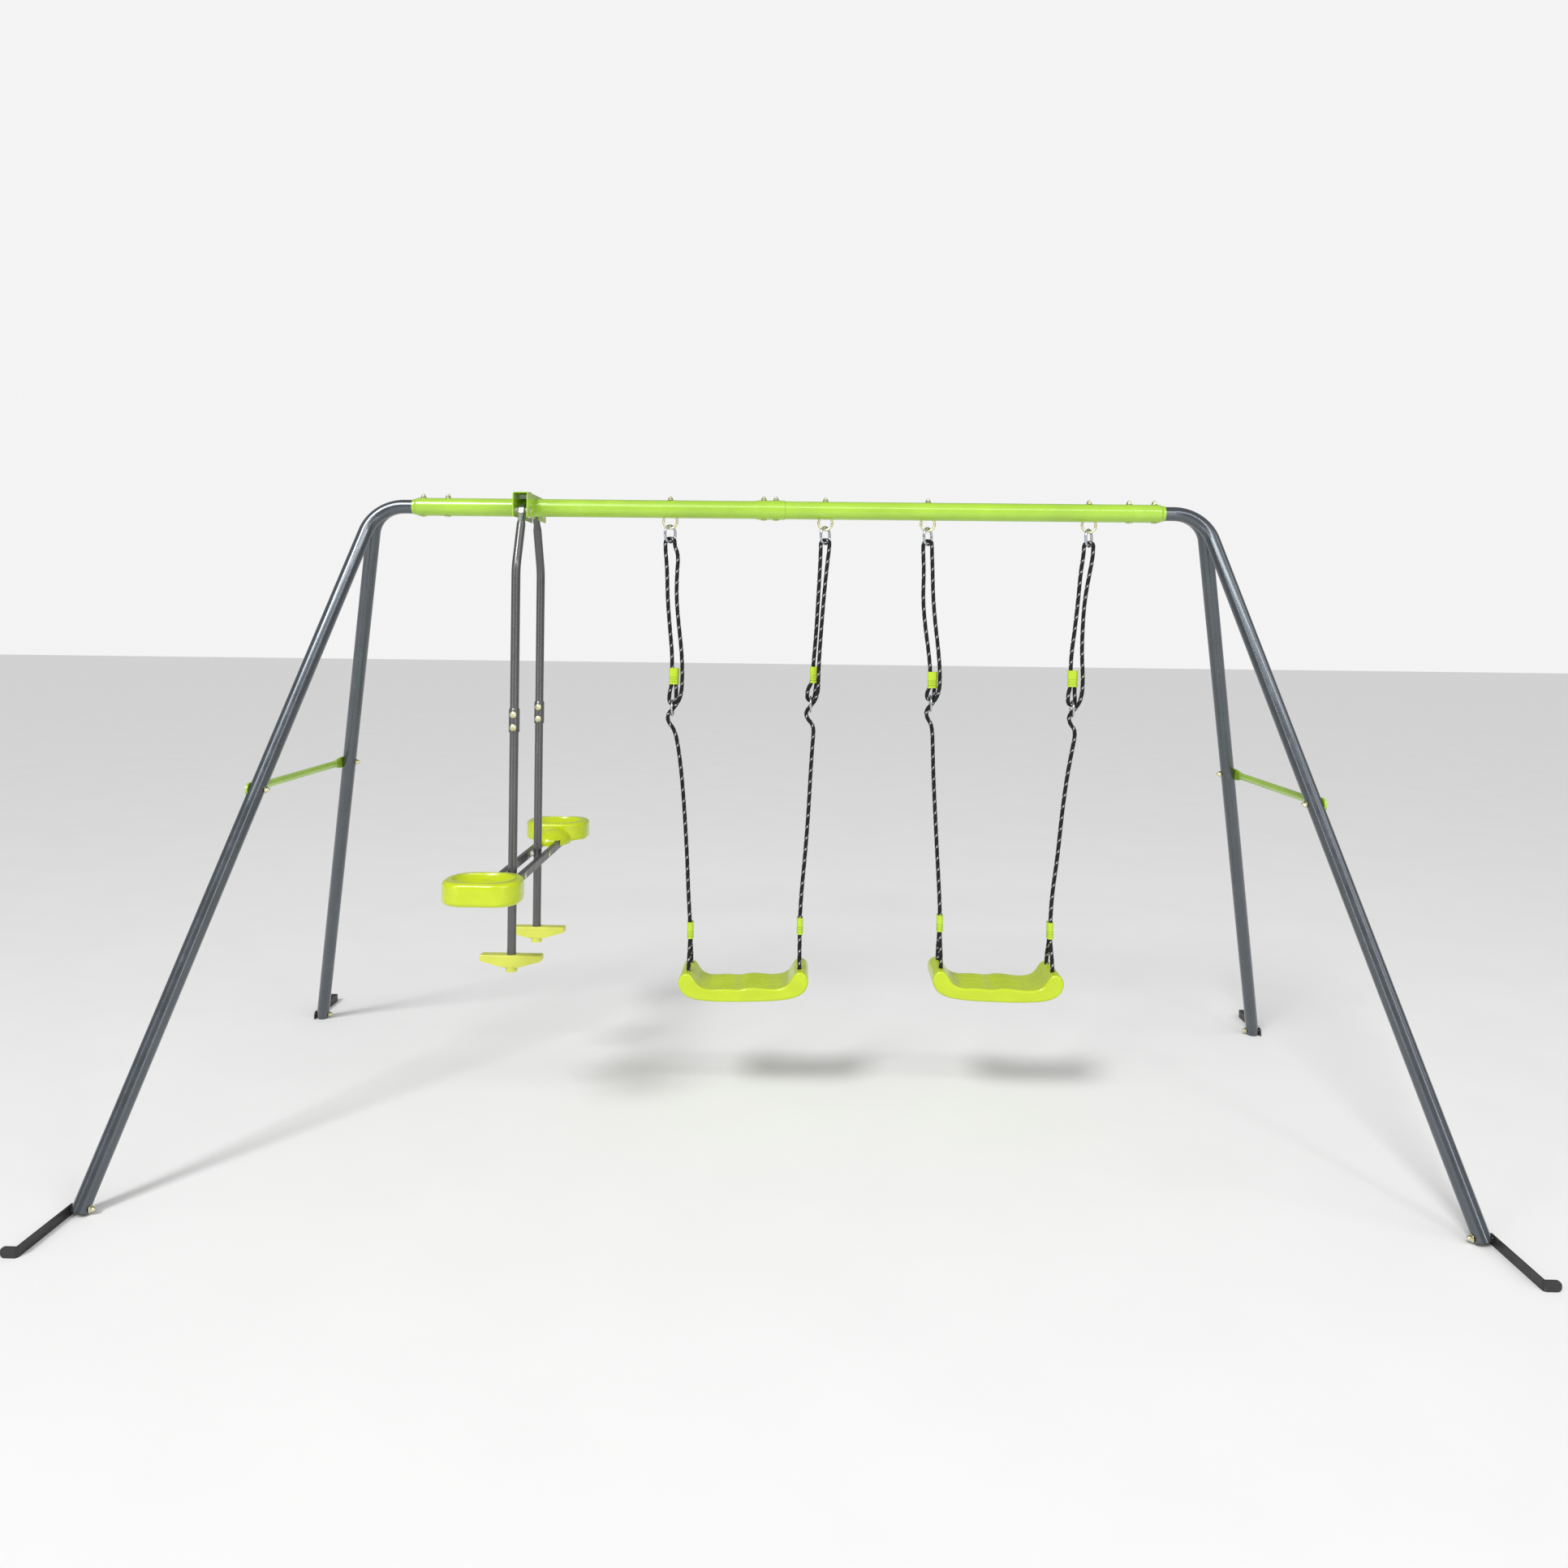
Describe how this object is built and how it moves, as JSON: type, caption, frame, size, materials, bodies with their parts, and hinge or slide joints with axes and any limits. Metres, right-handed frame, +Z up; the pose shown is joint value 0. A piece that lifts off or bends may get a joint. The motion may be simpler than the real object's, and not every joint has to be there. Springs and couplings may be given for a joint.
{
  "type": "swing set",
  "caption": "Tubular A-frame swing set with rope swings and a face-to-face glider hung from one lime-green top beam.",
  "frame": {"origin": "on the ground under the middle of the top beam", "axes": "+X along the top beam to the right, +Y to the rear, +Z up"},
  "size_m": [3.494, 1.78, 1.848],
  "materials": {
    "lime_paint": "powder coat, satin",
    "gunmetal_paint": "powder coat, semi-gloss",
    "anchor_steel": "black paint, satin",
    "zinc": "yellow-tinted zinc plate",
    "ring_steel": "bright zinc plate",
    "black_rope": "braided polypropylene with pale tracer",
    "sleeve_plastic": "moulded, satin",
    "seat_plastic": "moulded, semi-gloss",
    "glider_plastic": "moulded, glossy",
    "hanger_paint": "grey powder coat",
    "rail_paint": "dark powder coat",
    "peg_plastic": "moulded, satin",
    "spacer_plastic": "pale nylon"
  },
  "bodies": {
    "frame": {"beam_left": "lime_paint", "beam_right": "lime_paint", "crossbar_left": "lime_paint", "crossbar_right": "lime_paint", "glider_bracket": "lime_paint", "leg_upper_front_left": "gunmetal_paint", "leg_upper_front_right": "gunmetal_paint", "leg_upper_rear_left": "gunmetal_paint", "leg_upper_rear_right": "gunmetal_paint", "leg_lower_front_left": "gunmetal_paint", "leg_lower_front_right": "gunmetal_paint", "leg_lower_rear_left": "gunmetal_paint", "leg_lower_rear_right": "gunmetal_paint", "ground_anchor_front_left": "anchor_steel", "ground_anchor_front_right": "anchor_steel", "ground_anchor_rear_left": "anchor_steel", "ground_anchor_rear_right": "anchor_steel", "beam_bolts": "zinc", "crossbar_bolts": "zinc", "anchor_bolts": "zinc", "glider_bracket_bolts": "zinc", "eyebolt_1_left": "zinc", "eyebolt_1_right": "zinc", "eyebolt_2_left": "zinc", "eyebolt_2_right": "zinc", "glider_bracket_spacers": "spacer_plastic"},
    "swing_1": {"swing_1_link_left": "ring_steel", "swing_1_link_right": "ring_steel", "swing_1_adjuster_rings": "ring_steel", "swing_1_rope_left": "black_rope", "swing_1_rope_right": "black_rope", "swing_1_upper_sleeves": "sleeve_plastic", "swing_1_lower_sleeves": "sleeve_plastic", "swing_1_seat": "seat_plastic"},
    "swing_2": {"swing_2_link_left": "ring_steel", "swing_2_link_right": "ring_steel", "swing_2_adjuster_rings": "ring_steel", "swing_2_rope_left": "black_rope", "swing_2_rope_right": "black_rope", "swing_2_upper_sleeves": "sleeve_plastic", "swing_2_lower_sleeves": "sleeve_plastic", "swing_2_seat": "seat_plastic"},
    "glider_hanger_front": {"glider_swage_bolts_front": "zinc", "glider_hanger_upper_front": "hanger_paint", "glider_hanger_lower_front": "hanger_paint", "glider_foot_peg_front": "peg_plastic"},
    "glider_hanger_rear": {"glider_swage_bolts_rear": "zinc", "glider_hanger_upper_rear": "hanger_paint", "glider_hanger_lower_rear": "hanger_paint", "glider_foot_peg_rear": "peg_plastic"},
    "glider_rails": {"glider_rail_bolts": "zinc", "glider_seat_screws": "zinc", "glider_rail_left": "rail_paint", "glider_rail_right": "rail_paint", "glider_seat_front": "glider_plastic", "glider_seat_rear": "glider_plastic", "glider_rail_spacers": "spacer_plastic"}
  },
  "joints": [
    {"name": "swing_1_swing", "type": "hinge", "parent": "frame", "child": "swing_1", "pos_m": [-0.117, 0, 1.742], "axis": [1, 0, 0], "range_deg": [-60, 60]},
    {"name": "swing_2_swing", "type": "hinge", "parent": "frame", "child": "swing_2", "pos_m": [0.666, 0, 1.742], "axis": [1, 0, 0], "range_deg": [-60, 60]},
    {"name": "glider_swing", "type": "hinge", "parent": "frame", "child": "glider_hanger_front", "pos_m": [-0.778, -0.085, 1.784], "axis": [1, 0, 0], "range_deg": [-18, 18]},
    {"name": "rear_hanger_swing", "type": "hinge", "parent": "frame", "child": "glider_hanger_rear", "pos_m": [-0.778, 0.085, 1.784], "axis": [1, 0, 0], "range_deg": [-19, 19]},
    {"name": "rail_pivot", "type": "hinge", "parent": "glider_hanger_front", "child": "glider_rails", "pos_m": [-0.778, -0.155, 0.722], "axis": [1, 0, 0], "range_deg": [-11, 11]}
  ],
  "couplings": [
    {"joint": "rear_hanger_swing", "follows": "glider_swing", "ratio": 1},
    {"joint": "rail_pivot", "follows": "glider_swing", "ratio": -0.5488}
  ]
}
